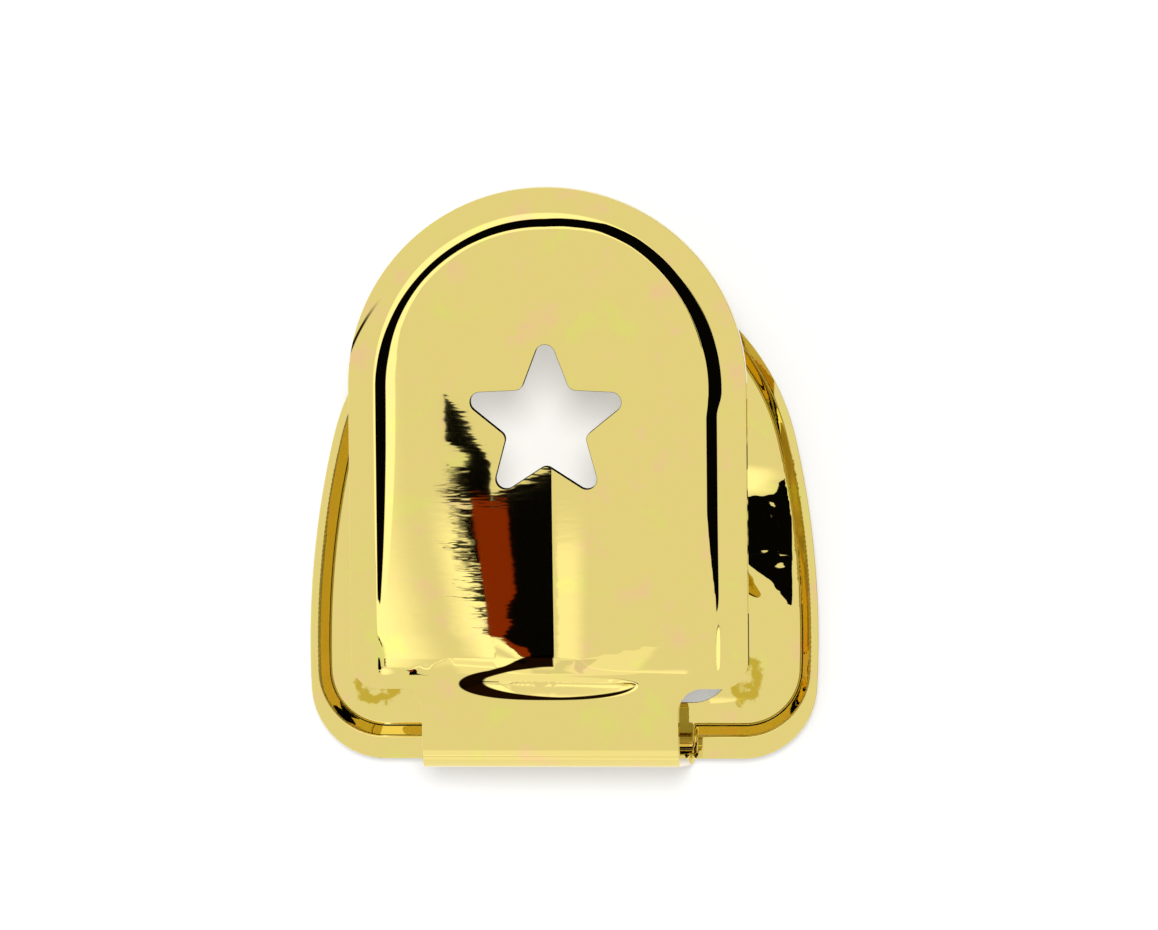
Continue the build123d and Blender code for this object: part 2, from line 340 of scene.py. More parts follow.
def fall_table(at, slope):
    """Height lost away from the crest, from slopes in degrees."""
    far = np.linspace(0, at[-1], 1401)
    tilt = np.tan(np.radians(np.interp(far, at, slope)))
    lost = np.concatenate([[0], np.cumsum((tilt[1:] + tilt[:-1]) / 2 * np.diff(far))])
    return far, lost


LEFT_FALL = fall_table(LEFT_AT, LEFT_SLOPE)
RIGHT_FALL = fall_table(RIGHT_AT, RIGHT_SLOPE)


def step_shape(d, hollow, wall, shoulder):
    """Rise from 0 to 1 across a step: the slope grows over the hollow, holds, and fades over the shoulder."""
    whole = hollow / 2 + wall + shoulder / 2
    rise = hollow * ramp(d / hollow) + np.clip(d - hollow, 0, wall)
    rise = rise + shoulder * (0.5 - ramp(1 - np.clip((d - hollow - wall) / shoulder, 0, 1)))
    return rise / whole


def lower_of(a, b, soft):
    """The lower of two heights, with a rounded change from one to the other."""
    return (a + b - np.sqrt((a - b) ** 2 + soft**2)) / 2


def dimple_inset(x, a):
    """How far inside the dimple's outline a point is, by nested outlines."""
    across = np.abs(x - DIMPLE_X)
    power = np.where(x < DIMPLE_X, *DIMPLE_BLUNT)
    up = a - DIMPLE_A - DIMPLE_SLANT * x
    reach = np.where(up > 0, DIMPLE_UP, DIMPLE_DOWN)
    low = np.full_like(across, -0.3)
    high = np.full_like(across, min(DIMPLE_UP, DIMPLE_DOWN) - 0.004)
    for _ in range(BISECTIONS):
        s = (low + high) / 2
        within = (across / (DIMPLE_LONG - s)) ** power + (up / (reach - s * reach / DIMPLE_UP)) ** 2 < 1
        low = np.where(within, s, low)
        high = np.where(within, high, s)
    return (low + high) / 2


def dimple_depth(x, a, widen):
    """Depth of the dimple, pressed into the foot of the panel."""
    s = dimple_inset(x, a) + widen
    along = (x - DIMPLE_X) / DIMPLE_LONG
    left = ease((-along - DIMPLE_LEFT_FROM[0]) / DIMPLE_LEFT_FROM[1])
    right = ease((along - DIMPLE_RIGHT_FROM[0]) / DIMPLE_RIGHT_FROM[1])
    end_round, brim_round, floor_round = DIMPLE_ROUNDS
    deep = DIMPLE_DEEP + DIMPLE_LEFT * left + DIMPLE_RIGHT * right
    down = DIMPLE_A + DIMPLE_SLANT * x - a
    below = ease(down / DIMPLE_FLOOR_CHANGE + 0.5) * (1 - left) * (1 - right)
    floor = deep - below * DIMPLE_RAMP * np.clip(DIMPLE_RAMP_REACH - s, 0, DIMPLE_RAMP_REACH)
    bow = DIMPLE_BOW * (x + widen - DIMPLE_X + DIMPLE_LONG)
    floor = lower_of(floor, np.maximum(bow, 0), end_round)
    upper = ease(-down / DIMPLE_WALL_CHANGE + 0.5)
    wall = -lower_of(-(DIMPLE_STEEP - DIMPLE_GENTLER * upper) * s, 0 * s, brim_round)
    return np.maximum(lower_of(wall, floor, floor_round), 0)


def foot_fade(x, a):
    """Share of the panel's height at its foot, from 0 below it to 1 above; steeper towards the left."""
    longer = sum(more * ease((way * x - begin) / over) for more, way, begin, over in FOOT_LONGER)
    return step_shape(a - FOOT_START, FOOT_ROUND, FOOT_END - FOOT_START + longer, FOOT_ROUND)


def panel_height(x, a):
    """Height of the panel's skin over the flat plate, without the wall round it."""
    off = CREST_X - x
    crown = CREST_RISE - np.where(off > 0, np.interp(off, *LEFT_FALL), np.interp(-off, *RIGHT_FALL))
    low_down = np.clip((LEFT_DROP_A[0] - a) / LEFT_DROP_A[1], 0, 1) ** LEFT_DROP_POWER
    crown = crown - LEFT_DROP * low_down * ramp((off - LEFT_DROP_X[0]) / LEFT_DROP_X[1])
    fade = foot_fade(x, a)
    return curve(a, EDGE_AT, EDGE_RISE) * fade + crown * curve(a, CROWN_AT, CROWN_SHARE) * fade


def front_relief(x, a, side):
    """Height of the sheet over the flat plate, on side A (1) or B (-1)."""
    over = np.maximum(a - SPRING, 0)
    r = np.hypot(x, over)
    bearing = np.degrees(np.arctan2(x, over))
    leg = ease(x - 1) * ease((LEG_TOP - a) / 0.5)
    start, hollow, wall, shoulder, steepness = (
        np.interp(bearing, WALL[:, 0], WALL[:, i + 1]) * (1 - leg) + on_leg * leg
        for i, on_leg in enumerate(RIGHT_LEG)
    )
    near = BRINK_RADIUS / np.maximum(r, LEAST_RADIUS)
    brink = panel_height(x * near, np.where(over > 0, SPRING + over * near, a))
    full = (hollow / 2 + wall + shoulder / 2) * np.tan(np.radians(steepness))
    # where the panel is low its wall is as steep, but narrower
    narrow = np.clip(brink / full, NARROWEST, 1.0)
    hollow, wall, shoulder = hollow * narrow, wall * narrow, shoulder * narrow
    edge = np.minimum(full * narrow, brink)
    d = start - NARROW_SHIFT * (1 - narrow) - r
    inner = ease((d - hollow - wall - shoulder * 0.5) / SKIN_SPREAD)
    if side < 0:
        width = hollow / 2 + wall + shoulder / 2
        hollow = hollow + INNER_SHIFT
        shoulder = np.maximum(shoulder - INNER_SHIFT, LEAST_SHOULDER)
        wall = np.maximum(width - hollow / 2 - shoulder / 2, LEAST_WALL)
    # the wall's height and the skin's may differ a little, and the difference is spread inwards
    skin = panel_height(x, a) - (brink - edge) * (1 - inner)
    height = skin * step_shape(d, hollow, wall, shoulder)
    return height - dimple_depth(x, a, 0.0 if side > 0 else DIMPLE_INNER_SHIFT)


def pan_level(x, y, sides, feet):
    """How far in a point is, in steps of nested outlines with the given insets at the sides and the foot."""
    ax = np.abs(x)
    low = np.zeros_like(ax)
    high = np.full_like(ax, len(sides) - 1.0)
    knots = np.arange(len(sides))
    for _ in range(BISECTIONS):
        mid = (low + high) / 2
        side_in = np.interp(mid, knots, sides)
        foot_in = np.interp(mid, knots, feet)
        corner = FRAME_CORNER - side_in
        cy = SETBACK + foot_in + corner
        cx = -SIDE_CENTRE + np.sqrt((SIDE_RADIUS - FRAME_CORNER) ** 2 - (cy - WIDEST) ** 2)
        d_side = SIDE_RADIUS - side_in - np.hypot(ax + SIDE_CENTRE, y - WIDEST)
        d_foot = y - SETBACK - foot_in
        d = np.minimum(d_side, d_foot)
        across = (ax - cx) * (cy - WIDEST) - (y - cy) * (cx + SIDE_CENTRE)
        in_corner = (ax > cx) & (y < cy) & (across > 0)
        d = np.where(in_corner, corner - np.hypot(ax - cx, y - cy), d)
        in_arch = (y - FRAME_ARCH_Y) > ax * (FRAME_ARCH_Y - WIDEST) / SIDE_CENTRE
        d = np.where(in_arch, FRAME_ARCH - side_in - np.hypot(ax, y - FRAME_ARCH_Y), d)
        inside_it = d >= 0
        low = np.where(inside_it, mid, low)
        high = np.where(inside_it, high, mid)
    return (low + high) / 2


def band_relief(x, y, within):
    """Tilt and small bumps of the back frame's right band, where within is 1."""
    from_step = np.clip(BAND_X - x, 0, PATCH_WIDTH)
    low_end = ease((y - PATCH_LOW - PATCH_SLANT * from_step) / PATCH_FADE)
    patch = low_end * ease((PATCH_TOP - y) / PATCH_FADE) * (x > 0)
    rise = BAND_TILT * np.maximum(BAND_X - np.abs(x), 0) + PATCH_TILT * patch * from_step
    rise = rise + patch * sum(size * lattice_noise(x, y, *cell) for size, *cell in PATCH_BUMPS)
    return rise * within * ease((y - SETBACK - BAND_FOOT[0]) / BAND_FOOT[1]) * (x > 0)


def pan_height(x, y, side):
    """Height of the back frame's surface on side A, its underside, or B, its inner side."""
    nested = (STEP_SIDES, STEP_FEET) if side < 0 else (BACK_SIDES, BACK_FEET)
    level = pan_level(x, y, *nested)
    height = (FRAME_HEIGHT - SHEET) * (1 - step_shape(level - STEP_START, *STEP_WIDTHS))
    if side < 0:
        within = ease((level - FLOOR_FROM[0]) / FLOOR_FROM[1])
        height = height + SHEET + band_relief(x, y, within)
        height = height - FALL_TILT * np.clip(np.abs(x) - FALL_X, 0, FALL_REACH) * within
    return height


def place(x, v, side):
    """Position of a layout point on side A (1) or B (-1) of the folded sheet."""
    on_floor = np.where(v < FLOOR_END, (FLOOR_END - v) * FLOOR_STRETCH, FLOOR_END - v)
    p = np.where(v < SETBACK, P_NECK + SETBACK - v, on_floor)
    low_turn = np.clip((p - P_BEND) / BEND, 0, math.pi / 2)
    top_turn = np.clip((p - P_TOP) / BEND, 0, TURN)
    y = np.where(p < P_BEND, FLOOR_END - p, BEND_Y - BEND * np.sin(low_turn))
    z = np.where(p < P_BEND, HALF, HALF + BEND - BEND * np.cos(low_turn))
    z = z + np.clip(p - P_NECK, 0, P_TOP - P_NECK)
    on_top = p > P_TOP
    y = np.where(on_top, BEND_Y - BEND * np.cos(top_turn), y)
    z = np.where(on_top, CORNER_Z - TANGENT + BEND * np.sin(top_turn), z)
    ny = np.where(on_top, -np.cos(top_turn), -np.sin(low_turn))
    nz = np.where(on_top, np.sin(top_turn), -np.cos(low_turn))
    on_plate = np.maximum(p - P_PLATE, 0)
    y = y + on_plate * math.cos(FRONT_LEAN)
    z = z + on_plate * math.sin(FRONT_LEAN)
    a = p - P_FOOT
    lift = side * HALF + np.where(a > -1.0, front_relief(x, np.maximum(a, -1.0), side), 0.0)
    strap = np.stack([x, y + ny * lift, z + nz * lift], -1)
    pan = np.stack([x, v, pan_height(x, v, side)], -1)
    beside = 1 - ease((np.abs(x) - NECK_HALF) / JOINT_BLEND)
    share = np.where(v < SETBACK - JOINT_REACH, 1.0, np.where(v > FLOOR_END, 0.0, beside))
    out = strap * share[:, None] + pan * (1 - share[:, None])
    out[:, 1] += FOLD_Y
    return out


def unit(vectors):
    """The same vectors, with a length of 1."""
    return vectors / np.linalg.norm(vectors, axis=1)[:, None]


def normals(x, v, side):
    """Unit normals of one side, pointing out of the metal."""
    e = NORMAL_REACH
    du = place(x + e, v, side) - place(x - e, v, side)
    dv = place(x, v + e, side) - place(x, v - e, side)
    return unit(np.cross(dv, du) * side)


def front_y(a):
    """The layout's v at a distance from the foot of the front plate."""
    return V_FOOT - a


def arc(centre, radius, start, end, spacing):
    """Points along an arc, without its last point; angles in degrees."""
    count = max(2, int(abs(math.radians(end - start)) * radius / spacing) + 1)
    t = np.radians(np.linspace(start, end, count + 1)[:-1])
    return np.stack([centre[0] + radius * np.cos(t), centre[1] + radius * np.sin(t)], -1)


def line(start, end, spacing):
    """Points along a line, without its last point."""
    start, end = np.array(start, float), np.array(end, float)
    count = max(1, int(np.linalg.norm(end - start) / spacing))
    t = np.linspace(0, 1, count + 1)[:-1, None]
    return start * (1 - t) + end * t


def mirrored(half):
    """Closed loop from its right half, which starts and ends on the middle line."""
    left = half[1:-1][::-1] * np.array([-1, 1])
    return np.vstack([half, left])


def both_halves(half):
    """Points of the right half, and the same on the left."""
    return np.vstack([half, half * np.array([-1, 1])])


def frame_bows(side_in, foot_in, corner, arch):
    """Right half of an outline of the back frame: centre, radius and angles of its corner, side and arch."""
    side = SIDE_RADIUS - side_in
    corner_y = SETBACK + foot_in + corner
    corner_x = -SIDE_CENTRE + math.sqrt((side - corner) ** 2 - (corner_y - WIDEST) ** 2)
    swing = math.degrees(math.atan2(corner_y - WIDEST, corner_x + SIDE_CENTRE))
    arch_y = WIDEST + math.sqrt((side - arch) ** 2 - SIDE_CENTRE**2)
    top_swing = math.degrees(math.atan2(arch_y - WIDEST, SIDE_CENTRE))
    return (
        ((corner_x, corner_y), corner, -90, swing),
        ((-SIDE_CENTRE, WIDEST), side, swing, top_swing),
        ((0, arch_y), arch, top_swing, 90),
    )


def frame_half(first_x, side_in, foot_in, corner, arch, spacing):
    """Right half of an outline of the back frame, from a point on its foot to its top."""
    bows = frame_bows(side_in, foot_in, corner, arch)
    foot = SETBACK + foot_in
    parts = [line((first_x, foot), (bows[0][0][0], foot), spacing)]
    parts += [arc(*bow, spacing) for bow in bows]
    parts.append(np.array([[0, bows[2][0][1] + arch]]))
    return parts


def outer_loop(spacing):
    """Outline of the flat sheet, from the middle of the front plate's top round to the frame's top."""
    joint_x, joint_v = NECK_HALF + JOINT_ROUND, SETBACK - JOINT_ROUND
    parts = [
        arc((0, front_y(SPRING)), ARCH, -90, 0, spacing),
        line((ARCH, front_y(SPRING)), (ARCH, front_y(FRONT_CORNER)), spacing),
        arc((ARCH - FRONT_CORNER, front_y(FRONT_CORNER)), FRONT_CORNER, 0, 90, spacing * 0.7),
        line((ARCH - FRONT_CORNER, front_y(0)), (NECK_HALF + NOTCH, front_y(0)), spacing),
        arc((NECK_HALF + NOTCH, front_y(-NOTCH)), NOTCH, -90, -180, spacing * 0.6),
        line((NECK_HALF, front_y(-NOTCH)), (NECK_HALF, joint_v), spacing),
        arc((joint_x, joint_v), JOINT_ROUND, 180, 90, spacing * 0.3),
    ]
    parts += frame_half(joint_x, 0, 0, FRAME_CORNER, FRAME_ARCH, spacing)
    return mirrored(np.vstack(parts))


def opening_loop(spacing):
    """Outline of the back frame's opening."""
    parts = frame_half(0, OPENING_SIDE, OPENING_FOOT, OPENING_CORNER, OPENING_ARCH, spacing)
    return mirrored(np.vstack(parts))


def corner_cut(back, ahead, radius):
    """Unit vectors to a corner's neighbours, half its angle, and how far its arc reaches along its sides."""
    back, ahead = back / np.linalg.norm(back), ahead / np.linalg.norm(ahead)
    half_angle = math.acos(np.clip(back @ ahead, -1, 1)) / 2
    return back, ahead, half_angle, radius / math.tan(half_angle)


def rounded_polygon(corners, rounds, spacing):
    """Closed polygon with an arc at each corner."""
    out = []
    corners = [np.array(corner) for corner in corners]
    n = len(corners)
    for i in range(n):
        here, after = corners[i], corners[(i + 1) % n]
        back, ahead, half_angle, cut = corner_cut(corners[i - 1] - here, after - here, rounds[i])
        middle = back + ahead
        middle /= np.linalg.norm(middle)
        centre = here + middle * rounds[i] / math.sin(half_angle)
        first, last = here + back * cut, here + ahead * cut
        start = math.degrees(math.atan2(*(first - centre)[::-1]))
        end = math.degrees(math.atan2(*(last - centre)[::-1]))
        end = start + (end - start + 180) % 360 - 180
        out.append(arc(centre, rounds[i], start, end, spacing * 0.6))
        far_cut = corner_cut(here - after, corners[(i + 2) % n] - after, rounds[(i + 1) % n])[3]
        out.append(line(last, after - ahead * far_cut, spacing))
    return np.vstack(out)


def star_loop(spacing):
    """Outline of the star hole in the layout."""
    corners, rounds = [], []
    for i in range(2 * STAR_POINTS):
        reach = STAR_WAIST if i % 2 else STAR_TIP
        angle = math.radians(180 / STAR_POINTS * i)
        corners.append((reach * math.sin(angle), front_y(STAR_HEIGHT + reach * math.cos(angle))))
        rounds.append(STAR_WAIST_ROUND if i % 2 else STAR_TIP_ROUND)
    return rounded_polygon(corners, rounds, spacing)


def inward(loop, sign):
    """Unit vectors into the metal at each point of a loop."""
    ahead = unit(np.roll(loop, -1, 0) - loop)
    back = unit(loop - np.roll(loop, 1, 0))
    t = unit(ahead + back)
    return np.stack([-t[:, 1], t[:, 0]], -1) * sign


def area(loop):
    """Area within a closed loop, below 0 if it turns right."""
    following = np.roll(loop, -1, 0)
    return 0.5 * np.sum(loop[:, 0] * following[:, 1] - following[:, 0] * loop[:, 1])


def inside(points, loop):
    """Which points are inside a closed loop."""
    x, y = points[:, 0], points[:, 1]
    hit = np.zeros(len(points), bool)
    for (x0, y0), (x1, y1) in zip(loop, np.roll(loop, -1, 0)):
        crosses = (y0 > y) != (y1 > y)
        if y1 != y0:
            hit ^= crosses & (x < (x1 - x0) * (y - y0) / (y1 - y0) + x0)
    return hit


def in_metal(points, loops):
    """Which points are inside the sheet's outline and outside its holes."""
    ok = inside(points, loops[0])
    for hole in loops[1:]:
        ok &= ~inside(points, hole)
    return ok


def grid(xs, vs):
    """Points at each pair of an x and a v."""
    xx, vv = np.meshgrid(xs, vs)
    return np.stack([xx.ravel(), vv.ravel()], -1)


def pan_row(side_in, foot_in):
    """A nested outline of the back frame, with its points level with those of the others."""
    bows = frame_bows(side_in, foot_in, FRAME_CORNER - side_in, FRAME_ARCH - side_in)
    parts = [grid(np.linspace(NECK_HALF, bows[0][0][0], FLAT_COUNT), SETBACK + foot_in)]
    for (centre, radius, start, end), count in zip(bows, BOW_COUNTS):
        t = np.radians(np.linspace(start, end, count)[1:])
        parts.append(np.stack([centre[0] + radius * np.cos(t), centre[1] + radius * np.sin(t)], -1))
    return both_halves(np.vstack(parts))


def wall_row(r):
    """A row of points along the wall round the panel, at a distance from its middle line."""
    t = np.radians(np.linspace(0, 90, WALL_BOW_COUNT))
    bow = np.stack([r * np.cos(t), front_y(SPRING + r * np.sin(t))], -1)
    leg = np.linspace(WALL_ROW_FOOT, SPRING, WALL_LEG_COUNT + 1)[:-1]
    return both_halves(np.vstack([grid(r, front_y(leg)), bow]))


def dimple_row(s):
    """A nested outline of the dimple."""
    t = np.radians(np.linspace(0, 360, DIMPLE_COUNT + 1)[:-1])
    left_power, right_power = (2 / blunt for blunt in DIMPLE_BLUNT)
    power = np.where(np.cos(t) < 0, left_power, right_power)
    x = DIMPLE_X + (DIMPLE_LONG - s) * np.sign(np.cos(t)) * np.abs(np.cos(t)) ** power
    reach = np.where(np.sin(t) > 0, DIMPLE_UP, DIMPLE_DOWN) * (1 - s / DIMPLE_UP)
    return np.stack([x, front_y(DIMPLE_A + DIMPLE_SLANT * x + reach * np.sin(t))], -1)


def field_points(loops):
    """Layout points inside the sheet: fine rows along the steps, and an even grid elsewhere."""
    rows = [grid(*(np.arange(*span) for span in PATCH_GRID))]
    rows += [wall_row(r) for r in np.arange(*WALL_ROWS)]
    for sides, feet, levels in ((STEP_SIDES, STEP_FEET, STEP_ROWS), (BACK_SIDES, BACK_FEET, BACK_ROWS)):
        knots = np.arange(len(sides))
        rows += [pan_row(np.interp(level, knots, sides), np.interp(level, knots, feet)) for level in levels]
    rows += [dimple_row(s) for s in DIMPLE_ROWS]
    rows += [grid(CREST_X + off, front_y(np.linspace(*CREST_SPAN, CREST_COUNT))) for off in CREST_ROWS]
    rows.append(grid(np.linspace(-FOOT_HALF, FOOT_HALF, FOOT_COUNT), front_y(np.arange(*FOOT_ROWS))))
    top_v = SETBACK - (P_TOP - P_NECK)
    bends = [
        grid(np.arange(*LOW_BEND_X), np.arange(SETBACK - 0.02, SETBACK + FLOOR_FOOT, BEND_PITCH)),
        grid(np.arange(*TOP_BEND_X), np.arange(top_v - BEND * TURN - 0.03, top_v + 0.04, BEND_PITCH)),
    ]
    across = np.arange(-EVEN_HALF, EVEN_HALF, EVEN_PITCH)
    along = np.arange(front_y(FRONT_LENGTH) - 0.1, EVEN_TOP, EVEN_PITCH * EVEN_CLOSER)
    even = grid(across, along)
    # every other row is half a pitch further on
    even[:, 0] += np.repeat(np.arange(len(along)) % 2, len(across)) * EVEN_PITCH / 2
    return thin([np.vstack(rows), np.vstack(bends), even], (ROW_GAP, BEND_GAP, EVEN_GAP), loops)


def spaced(points, gap):
    """Points in their order, without those too close to one kept before."""
    cells, good = {}, []
    for p in points:
        column, row = int(p[0] // gap), int(p[1] // gap)
        near = False
        for i in (-1, 0, 1):
            for j in (-1, 0, 1):
                q = cells.get((column + i, row + j))
                if q is not None and (q[0] - p[0]) ** 2 + (q[1] - p[1]) ** 2 < (gap * 0.9) ** 2:
                    near = True
        if not near:
            cells[column, row] = p
            good.append(p)
    return np.array(good)


def thin(groups, gaps, loops):
    """Keeps points of each group that are inside the metal and far enough from those kept before."""
    kept = [np.vstack(loops)]
    for points, gap in zip(groups, gaps):
        points = points[in_metal(points, loops)]
        base = np.vstack(kept)
        tree = KDTree(len(base))
        for i, p in enumerate(base):
            tree.insert((p[0], p[1], 0), i)
        tree.balance()
        least = max(gap, LEAST_CLEARANCE) * 0.95
        far = np.array([tree.find((p[0], p[1], 0))[2] > least for p in points])
        kept.append(spaced(points[far], gap))
    return np.vstack(kept[1:])


def triangulate(loops, field):
    """Points and triangles of the layout, and where the points of each loop are among them."""
    edges, start = [], 0
    for loop in loops:
        n = len(loop)
        edges += [(start + i, start + (i + 1) % n) for i in range(n)]
        start += n
    flat = [Vector(p) for p in np.vstack(loops + [field])]
    points, _, triangles, origins, _, _ = delaunay_2d_cdt(flat, edges, [], 1, SAME_POINT, True)
    points = np.array([(p.x, p.y) for p in points])
    triangles = np.array([t for t in triangles if len(t) == 3])
    triangles = triangles[in_metal(points[triangles].mean(1), loops)]
    first, second, third = (points[triangles[:, i]] for i in range(3))
    turns_right = np.cross(second - first, third - first) < 0
    triangles[turns_right] = triangles[turns_right][:, ::-1]
    new_of = {old: new for new, olds in enumerate(origins) for old in olds}
    ids, start = [], 0
    for loop in loops:
        ids.append(np.array([new_of[start + i] for i in range(len(loop))]))
        start += len(loop)
    return points, triangles, ids


def round_edge(outline, a_pos, b_pos, a_nor, b_nor):
    """Rows of points and of normals round a sheared edge, from side A to side B."""
    a_edge, b_edge = (place(outline[:, 0], outline[:, 1], side) for side in (1, -1))
    through = unit(b_edge - a_edge)
    out_a, out_b = a_edge - a_pos, b_edge - b_pos
    out = unit((out_a + out_b) / 2)
    rows = []
    for pos, nor, reach, sign, steps in (
        (a_pos, a_nor, out_a, 1, EDGE_STEPS),
        (b_pos, b_nor, out_b, -1, EDGE_STEPS[::-1]),
    ):
        for deg in steps:
            t = math.radians(deg)
            row = pos + reach * math.sin(t) + sign * through * EDGE_ROUND * (1 - math.cos(t))
            rows.append((row, unit(nor * math.cos(t) + out * math.sin(t))))
    return rows


def build_sheet():
    """The folded sheet as one closed mesh."""
    outlines = [outer_loop(OUTLINE_SPACING), opening_loop(OUTLINE_SPACING), star_loop(STAR_SPACING)]
    outlines = [loop if area(loop) > 0 else loop[::-1] for loop in outlines]
    loops = [loop + inward(loop, -1 if i else 1) * EDGE_ROUND for i, loop in enumerate(outlines)]
    points, triangles, loop_ids = triangulate(loops, field_points(loops))
    count = len(points)
    a_pos, b_pos = (place(points[:, 0], points[:, 1], side) for side in (1, -1))
    a_nor, b_nor = (normals(points[:, 0], points[:, 1], side) for side in (1, -1))
    positions, shading = [a_pos, b_pos], [a_nor, b_nor]
    # a triangle that turns left in the layout faces into the metal on side A, so it's turned round there
    faces = [triangles[:, ::-1], triangles + count]
    total = 2 * count
    for outline, ids in zip(outlines, loop_ids):
        rows = [ids]
        for row, row_normals in round_edge(outline, a_pos[ids], b_pos[ids], a_nor[ids], b_nor[ids]):
            positions.append(row)
            shading.append(row_normals)
            rows.append(np.arange(total, total + len(ids)))
            total += len(ids)
        rows.append(ids + count)
        for upper, lower in zip(rows, rows[1:]):
            faces.append(np.stack([upper, np.roll(upper, -1), np.roll(lower, -1), lower], -1))
    mesh = bpy.data.meshes.new("sheet")
    polygons = [tuple(map(int, face)) for group in faces for face in group]
    mesh.from_pydata([tuple(p) for p in np.vstack(positions) * MM], [], polygons)
    mesh.update()
    mesh.shade_smooth()
    mesh.normals_split_custom_set_from_vertices([tuple(n) for n in np.vstack(shading)])
    return mesh


def maths(tree, operation, *values):
    """Output of a Math node whose inputs are terms or numbers."""
    made = tree.nodes.new("ShaderNodeMath")
    made.operation = operation
    for socket, value in zip(made.inputs, values):
        if isinstance(value, Term):
            tree.links.new(value.socket, socket)
        else:
            socket.default_value = value
    return Term(tree, made.outputs[0])


class Term:
    """A node's output that sums can be written with: each operation adds a node to its tree."""

    def __init__(self, tree, socket):
        self.tree, self.socket = tree, socket

    def __add__(self, other):
        return maths(self.tree, "ADD", self, other)

    def __sub__(self, other):
        return maths(self.tree, "SUBTRACT", self, other)

    def __rsub__(self, other):
        return maths(self.tree, "SUBTRACT", other, self)

    def __mul__(self, other):
        return maths(self.tree, "MULTIPLY", self, other)

    def __truediv__(self, other):
        return maths(self.tree, "DIVIDE", self, other)

    def __pow__(self, other):
        return maths(self.tree, "POWER", self, other)

    def __abs__(self):
        return maths(self.tree, "ABSOLUTE", self)

    def at_least(self, other):
        """The larger of two."""
        return maths(self.tree, "MAXIMUM", self, other)

    def length_with(self, other):
        """Length of the vector that this and another make."""
        return maths(self.tree, "SQRT", self * self + other * other)

    def degrees_over(self, other):
        """Angle whose tangent is this over another."""
        return maths(self.tree, "ARCTAN2", self, other) * (180 / math.pi)

    def step(self, low, high):
        """0 below low, 1 above high, smooth between; low may be the larger, which turns it round."""
        made = self.tree.nodes.new("ShaderNodeMapRange")
        made.interpolation_type = "SMOOTHSTEP"
        self.tree.links.new(self.socket, made.inputs["Value"])
        made.inputs["From Min"].default_value = low
        made.inputs["From Max"].default_value = high
        return Term(self.tree, made.outputs[0])


def add_node(tree, kind, **sockets):
    """A node with values on its sockets."""
    made = tree.nodes.new(kind)
    for name, value in sockets.items():
        made.inputs[name.replace("_", " ")].default_value = value
    return made


def split_vector(tree, vector):
    """The three parts of a vector, as terms."""
    made = tree.nodes.new("ShaderNodeSeparateXYZ")
    tree.links.new(vector, made.inputs[0])
    return [Term(tree, part) for part in made.outputs]


def noise(tree, vector, scale, detail, roughness):
    """A noise texture's value, as a term."""
    made = add_node(tree, "ShaderNodeTexNoise", Scale=scale, Detail=detail, Roughness=roughness)
    tree.links.new(vector, made.inputs["Vector"])
    return Term(tree, made.outputs["Fac"])


def blend(tree, share, first, second):
    """First colour where the share is 0, second where it is 1; the second is a constant."""
    made = tree.nodes.new("ShaderNodeMix")
    made.data_type = "RGBA"
    tree.links.new(share.socket, made.inputs[0])
    tree.links.new(first, made.inputs[6])
    made.inputs[7].default_value = second
    return made.outputs[2]


def lens_share(x, y, middle, size, power):
    """How far out a point is in a lens: below 1 inside it."""
    return (abs(x - middle[0]) / size[0]) ** power + (abs(y - middle[1]) / size[1]) ** 2.0


def painted_dark_reflections(x, y, z):
    """Where dark reflections and shade are painted: round the dimple, in a link above it, and in a streak
    across the border's left.
    """
    a = (y - (FOLD_Y + NECK_DROP)) * (1 / math.cos(FRONT_LEAN))
    outer = lens_share(x, a, *RING_OUTER).step(*RING_OUTER_EDGE)
    ring = outer * lens_share(x, a, *RING_INNER).step(*RING_INNER_EDGE)
    off = x - LINK_X
    over = a - (off * off * LINK_CURVE + LINK_A)
    thickness = x.step(*LINK_THICKER_X) * LINK_THICKER + LINK_THICK
    link = over.step(*LINK_LOW) * (over - thickness).step(*LINK_HIGH)
    ring = ring.at_least(link * x.step(*LINK_RIGHT) * x.step(*LINK_LEFT))
    # painted dark reflection: a streak across the border's left
    up = a - SPRING
    bearing = x.degrees_over(up)
    path = (bearing - PAINTED_STREAK_BEARING) * PAINTED_STREAK_SWERVE + PAINTED_STREAK_RADIUS
    painted_streak = abs(x.length_with(up) - path).step(*PAINTED_STREAK_EDGE) * up.step(*PAINTED_STREAK_A)
    painted_streak = painted_streak * bearing.step(*PAINTED_STREAK_TOP) * bearing.step(*PAINTED_STREAK_FOOT)
    return ring.at_least(painted_streak) * z.step(*PAINTED_DARK_FROM_Z)


def corner_painted_shade(x, y, z, rough):
    """Where shade is painted in the two lower corners of the back frame, for the front plate's shaded corners
    reflected there.
    """
    spots = []
    for middle, size in PAINTED_SHADE_SPOTS:
        share = lens_share(x, y, middle, size, 2.0) + (rough - 0.5) * PAINTED_SHADE_RAGGED
        spots.append(share.step(*PAINTED_SHADE_EDGE) * share.step(*PAINTED_SHADE_MIDDLE))
    return spots[0].at_least(spots[1]) * z.step(*PAINTED_SHADE_Z)


def new_material(name, **sockets):
    """A node material with one surface shader, and that shader."""
    mat = bpy.data.materials.new(name)
    mat.use_nodes = True
    tree = mat.node_tree
    tree.nodes.clear()
    surface = add_node(tree, "ShaderNodeBsdfPrincipled", **sockets)
    tree.links.new(surface.outputs[0], tree.nodes.new("ShaderNodeOutputMaterial").inputs[0])
    return mat, tree, surface


